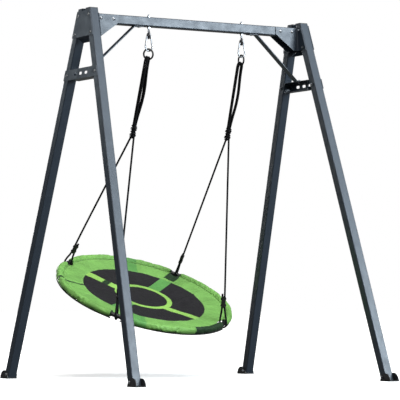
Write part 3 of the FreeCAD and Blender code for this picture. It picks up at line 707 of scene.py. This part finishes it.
def deck_height(x, y):
    """The deck's upper surface: a shallow dish, with folds in its margin and pulls at the rope slots."""
    r = math.hypot(x, y)
    angle = math.atan2(y, x)
    rise = max(0.0, r - deck_flat_radius) / (deck_radius - deck_flat_radius)
    z = deck_rim_height - deck_sag + deck_sag * rise ** 2
    held = 1 - smooth_step(r, 0.455, deck_radius)
    loose = smooth_step(r, 0.32, 0.42) * held
    folds = noise.noise(Vector((math.cos(angle) * 7, math.sin(angle) * 7, r * 2.5)))
    fine = noise.noise(Vector((math.cos(angle) * 19, math.sin(angle) * 19, r * 6 + 5)))
    z += loose * (5.5 * mm * folds + 3.0 * mm * fine)
    z += 2.2 * mm * noise.noise(Vector((x * 6, y * 6, 3.1))) * held
    z += 1.8 * mm * noise.noise(Vector((x * 22, y * 22, 8.4))) * held
    for slot_angle in slot_angles:
        pull = math.exp(-(angle_gap(angle, slot_angle) / 0.07) ** 2)
        z -= 6 * mm * pull * smooth_step(r, 0.36, 0.44) * held
    z -= 7 * mm * math.exp(-(angle_gap(angle, fold_shade_angle) / 0.03) ** 2) * smooth_step(r, 0.33, 0.42) * held
    z += crease(x, y, (0.44, 0.135), (0.15, -0.07), 4.0 * mm) * held
    z += crease(x, y, (-0.44, 0.07), (-0.17, 0.06), 3.5 * mm) * held
    return z


def crease(x, y, start, stop, height):
    """A soft ridge along a line on the deck."""
    length = math.dist(start, stop)
    ux = (stop[0] - start[0]) / length
    uy = (stop[1] - start[1]) / length
    ahead = (x - start[0]) * ux + (y - start[1]) * uy
    left = (y - start[1]) * ux - (x - start[0]) * uy
    fade = smooth_step(ahead, 0, 0.05) * (1 - smooth_step(ahead, length - 0.05, length))
    return height * fade * math.exp(-(left / 0.009) ** 2)


def deck_layout():
    """Points and triangles of the flat deck, with the print's edges among them."""
    points = []
    edges = []
    for line in print_and_shade_edges():
        line = split_line(line)
        first = len(points)
        points += line
        edges += [(first + i, first + i + 1) for i in range(len(line) - 1)]
    taken = {(round(x / deck_step), round(y / deck_step)) for x, y in points}
    reach = int(deck_radius / deck_step)
    for i in range(-reach, reach + 1):
        for j in range(-reach, reach + 1):
            x = (i + 0.5 * (j % 2)) * deck_step
            y = j * deck_step
            if math.hypot(x, y) > deck_radius - 0.6 * deck_step:
                continue
            if (round(x / deck_step), round(y / deck_step)) not in taken:
                points.append((x, y))
    flat, _, faces = delaunay_2d_cdt([Vector(p) for p in points], edges, [], 0, 1e-5)[:3]
    return flat, [face for face in faces if not in_notch(*face_middle(flat, face))]


def face_middle(flat, face):
    middle = sum((flat[i] for i in face), Vector((0, 0))) / len(face)
    return middle.x, middle.y


def cover_materials(materials):
    return [materials[name] for name in COVER_SLOTS]


def thicken(piece, thickness, back_slot):
    """Gives a sheet its thickness below its upper surface, and its underside a cloth of its own."""
    solid = piece.modifiers.new("cloth", "SOLIDIFY")
    solid.thickness = thickness
    solid.offset = -1.0
    solid.material_offset = back_slot


def make_deck(materials):
    flat, faces = deck_layout()
    verts = [(p.x, p.y, deck_height(p.x, p.y)) for p in flat]
    slots = []
    uvs = []
    for face in faces:
        slots.append(print_and_shade_slot(*face_middle(flat, face)))
        uvs += [(flat[i].x, flat[i].y) for i in face]
    deck = mesh_piece("printed_deck", verts, faces, cover_materials(materials), slots, uvs)
    deck.data.transform(seat_matrix())
    thicken(deck, deck_cloth, BLACK)
    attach(deck, "seat")
    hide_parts("seat_deck")


def rim_slot(angle):
    """Which cloth the rim's sleeve shows, with dark cloth as painted shade along the deep fold."""
    for slot_angle in slot_angles:
        if angle_gap(angle, slot_angle) < slot_patch_reach:
            return DARK
    if angle_gap(angle, front_patch_angle) < front_patch_reach:
        return DARK
    return block_slot(angle)


def arc_span(number):
    """Where one arc of the rim starts and stops, between two rope slots."""
    following = slot_angles[(number + 1) % 4] + (2 * math.pi if number == 3 else 0)
    return slot_angles[number] + slot_half_angle, following - slot_half_angle


def pad_mesh(number, materials):
    """One padded sleeve of the rim, laid out along the tube, with puckers along its seams."""
    start, stop = arc_span(number)
    rings = 150
    sides = 28
    verts = []
    for i in range(rings + 1):
        t = i / rings
        angle = start + (stop - start) * t
        close = min(t, 1 - t) * (stop - start) * seat_ring_radius
        swell = 0.80 + 0.20 * smooth_step(close, 0, 0.02)
        for j in range(sides):
            around = 2 * math.pi * j / sides
            wrinkle = noise.noise(Vector((math.cos(angle) * 26, math.sin(angle) * 26, around * 0.55)))
            pucker = 0.9 * mm * wrinkle * (0.5 + 0.5 * math.cos(around - math.pi))
            radius = pad_radius * swell + pucker + 0.7 * mm * wrinkle
            reach = seat_ring_radius + radius * math.cos(around)
            verts.append((reach * math.cos(angle), reach * math.sin(angle), radius * math.sin(around)))
    faces = []
    slots = []
    uvs = []
    for i in range(rings):
        angle = start + (stop - start) * (i + 0.5) / rings
        for j in range(sides):
            k = (j + 1) % sides
            faces.append((i * sides + j, (i + 1) * sides + j, (i + 1) * sides + k, i * sides + k))
            slots.append(rim_slot(angle))
            u = [seat_ring_radius * (start + (stop - start) * (i + n) / rings) for n in (0, 1)]
            v = [2 * math.pi * pad_radius * (j + n) / sides for n in (0, 1)]
            uvs += [(u[0], v[0]), (u[1], v[0]), (u[1], v[1]), (u[0], v[1])]
    faces.append(tuple(range(sides)))
    faces.append(tuple(reversed(range(rings * sides, (rings + 1) * sides))))
    slots += [DARK, DARK]
    uvs += [(0.1 * (j % 2), 0.1) for j in range(2 * sides)]
    return mesh_piece("rim_sleeve_%d" % (number + 1), verts, faces, cover_materials(materials), slots, uvs)


def puff(piece, cap):
    """Fills a closed cloth piece with a short cloth simulation, capping how far each point moves."""
    rest = [v.co.copy() for v in piece.data.vertices]
    seam = piece.vertex_groups.new(name="seam")
    for v in piece.data.vertices:
        r = math.hypot(v.co.x, v.co.y)
        on_seam = r < seat_ring_radius - 0.8 * pad_radius and abs(v.co.z) < 0.35 * pad_radius
        if on_seam:
            seam.add([v.index], 1.0, "REPLACE")
    cloth = piece.modifiers.new("cloth", "CLOTH")
    settings = cloth.settings
    settings.quality = 6
    settings.mass = 0.2
    settings.use_pressure = True
    settings.uniform_pressure_force = 4.0
    settings.effector_weights.gravity = 0.0
    settings.vertex_group_mass = "seam"
    settings.shrink_min = -0.05
    settings.tension_stiffness = 20
    settings.compression_stiffness = 20
    settings.bending_stiffness = 0.2
    scene = bpy.context.scene
    for number in range(1, 21):
        scene.frame_set(number)
    evaluated = piece.evaluated_get(bpy.context.evaluated_depsgraph_get())
    moved = [v.co.copy() for v in evaluated.data.vertices]
    piece.modifiers.remove(cloth)
    scene.frame_set(1)
    for v, old, new in zip(piece.data.vertices, rest, moved):
        shift = new - old
        if shift.length > cap:
            shift = shift.normalized() * cap
        v.co = old + shift


def make_pads(materials):
    for number in range(4):
        pad = pad_mesh(number, materials)
        puff(pad, pad_puff_limit)
        pad.data.transform(seat_matrix())
        smooth = pad.modifiers.new("smooth", "SUBSURF")
        smooth.levels = 1
        smooth.render_levels = 1
        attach(pad, "seat")
    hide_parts("seat_rim_pads")


def seat_circle(radius, height, start, stop, count):
    place = seat_matrix()
    line = []
    for i in range(count + 1):
        angle = start + (stop - start) * i / count
        line.append(tuple(place @ Vector((radius * math.cos(angle), radius * math.sin(angle), height))))
    return line


def make_piping(materials):
    """Black piping along the sleeves' lower outer edge, and light green welting along the deck's seam."""
    radius = seat_ring_radius + piping_reach * math.cos(piping_turn)
    height = piping_reach * math.sin(piping_turn)
    for number in range(4):
        start, stop = arc_span(number)
        line = seat_circle(radius, height, start, stop, 90)
        piping = skin("rim_piping_%d" % (number + 1), line, 10, braid(piping_radius, 6 * mm, 0.15 * mm),
                      [materials["piping"]])
        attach(piping, "seat")
        line = seat_circle(deck_radius + 1.5 * mm, deck_rim_height + 1.5 * mm, start, stop, 90)
        welt = skin("deck_welt_%d" % (number + 1), line, 10, round_skin(welt_radius),
                    [materials["light_green"]])
        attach(welt, "seat")


def stitch_angles(radius):
    """Where the stitches of one row sit, leaving out the rope slots."""
    count = int(2 * math.pi * radius / stitch_pitch)
    angles = [2 * math.pi * i / count for i in range(count)]
    clear = notch_radius * 1.2 / seat_ring_radius
    return [angle for angle in angles if min(angle_gap(angle, slot) for slot in slot_angles) > clear]


def make_stitches(name, radius, materials):
    """A row of separate sewn stitches round the deck, each a short rounded length of thread."""
    sides = 5
    rings = ((-0.5, 0.4), (-0.35, 1.0), (0.35, 1.0), (0.5, 0.4))
    verts = []
    faces = []
    for angle in stitch_angles(radius):
        first = len(verts)
        for along, swell in rings:
            turn = angle + along * stitch_length / radius
            for j in range(sides):
                around = 2 * math.pi * j / sides
                reach = radius + swell * stitch_thickness * math.cos(around)
                x = reach * math.cos(turn)
                y = reach * math.sin(turn)
                rise = swell * stitch_thickness * (0.3 + math.sin(around))
                verts.append((x, y, deck_height(x, y) + rise))
        for i in range(len(rings) - 1):
            for j in range(sides):
                k = (j + 1) % sides
                low = first + i * sides
                faces.append((low + j, low + k, low + sides + k, low + sides + j))
        faces.append(tuple(first + j for j in reversed(range(sides))))
        faces.append(tuple(first + (len(rings) - 1) * sides + j for j in range(sides)))
    row = mesh_piece(name, verts, faces, [materials["thread"]])
    row.data.transform(seat_matrix())
    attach(row, "seat")


# ---------------------------------------------------------------- surroundings

light_target = Vector((0.0, 0.0, 1.1))


def add_light(name, kind, place, settings, colour):
    """A light that shines from its place towards the middle of the swing."""
    light = bpy.data.lights.new(name, kind)
    light.color = colour
    for key, value in settings.items():
        setattr(light, key, value)
    holder = bpy.data.objects.new(name, light)
    holder.location = place
    holder.rotation_euler = (light_target - Vector(place)).to_track_quat("-Z", "Y").to_euler()
    holder.visible_camera = False
    bpy.context.scene.collection.objects.link(holder)


def make_lights():
    cool = (0.84, 0.94, 1.0)
    sun = {"angle": math.radians(50), "energy": 3.3}
    add_light("key_sun", "SUN", (0.2, -4.0, 10.0), sun, (1.0, 0.99, 0.97))
    front = {"shape": "RECTANGLE", "size": 3.4, "size_y": 1.6, "energy": 390}
    add_light("front_box", "AREA", (3.2, -5.3, 2.8), front, cool)
    add_light("leg_box", "AREA", (2.6, -4.4, 5.0), {"size": 2.6, "energy": 110}, cool)
    add_light("side_box", "AREA", (-3.6, 5.3, 2.9), {"size": 1.4, "energy": 14}, cool)
    add_light("rear_box", "AREA", (0.5, 7.0, 1.9), {"size": 2.2, "energy": 150}, (1.0, 1.0, 1.0))
    add_light("left_fill", "AREA", (-5.0, -2.5, 4.5), {"size": 2.5, "energy": 105}, (1.0, 1.0, 0.96))


def make_world():
    """White as a backdrop, dimmer as a light."""
    world = bpy.data.worlds.new("studio")
    bpy.context.scene.world = world
    world.use_nodes = True
    tree = world.node_tree
    seen = tree.nodes.new("ShaderNodeBackground")
    seen.inputs["Color"].default_value = (1, 1, 1, 1)
    lit = tree.nodes["Background"]
    lit.inputs["Color"].default_value = (0.92, 0.95, 1.0, 1)
    lit.inputs["Strength"].default_value = 0.10
    path = tree.nodes.new("ShaderNodeLightPath")
    mix = tree.nodes.new("ShaderNodeMixShader")
    tree.links.new(path.outputs["Is Camera Ray"], mix.inputs[0])
    tree.links.new(lit.outputs[0], mix.inputs[1])
    tree.links.new(seen.outputs[0], mix.inputs[2])
    tree.links.new(mix.outputs[0], tree.nodes["World Output"].inputs["Surface"])


def make_floor():
    """White where the camera sees it, and darker as a source of bounced light."""
    floor_material = Material("floor", 0.9)
    mottle = floor_material.noise(3.0, 2.0)
    seen = floor_material.blend(mottle, (0.88, 0.88, 0.88, 1), (0.92, 0.92, 0.92, 1))
    camera_ray = floor_material.add("ShaderNodeLightPath").outputs["Is Camera Ray"]
    floor_material.finish(floor_material.blend(camera_ray, (0.10, 0.10, 0.10, 1), seen))
    floor_material.feed(floor_material.shader.inputs["Emission Color"], (1, 1, 1, 1))
    floor_material.feed(floor_material.shader.inputs["Emission Strength"],
                        floor_material.math("MULTIPLY", camera_ray, 0.45))
    size = 60.0
    corners = [(-size, -size, 0), (size, -size, 0), (size, size, 0), (-size, size, 0)]
    floor = mesh_piece("floor", corners, [(0, 1, 2, 3)], [floor_material.data])


def build():
    make_camera()
    materials = make_materials()
    knots = {side: make_knot(side, materials) for side in SIDES}
    for side in SIDES:
        for end in ENDS:
            make_rope(side, end, materials)
    dress_cad(materials)
    make_deck(materials)
    make_pads(materials)
    make_piping(materials)
    make_stitches("panel_stitches", panel_radius + 7 * mm, materials)
    make_stitches("welt_stitches", deck_radius - 12 * mm, materials)
    make_floor()
    make_lights()
    make_world()
    bpy.context.scene.view_settings.view_transform = "Standard"


build()
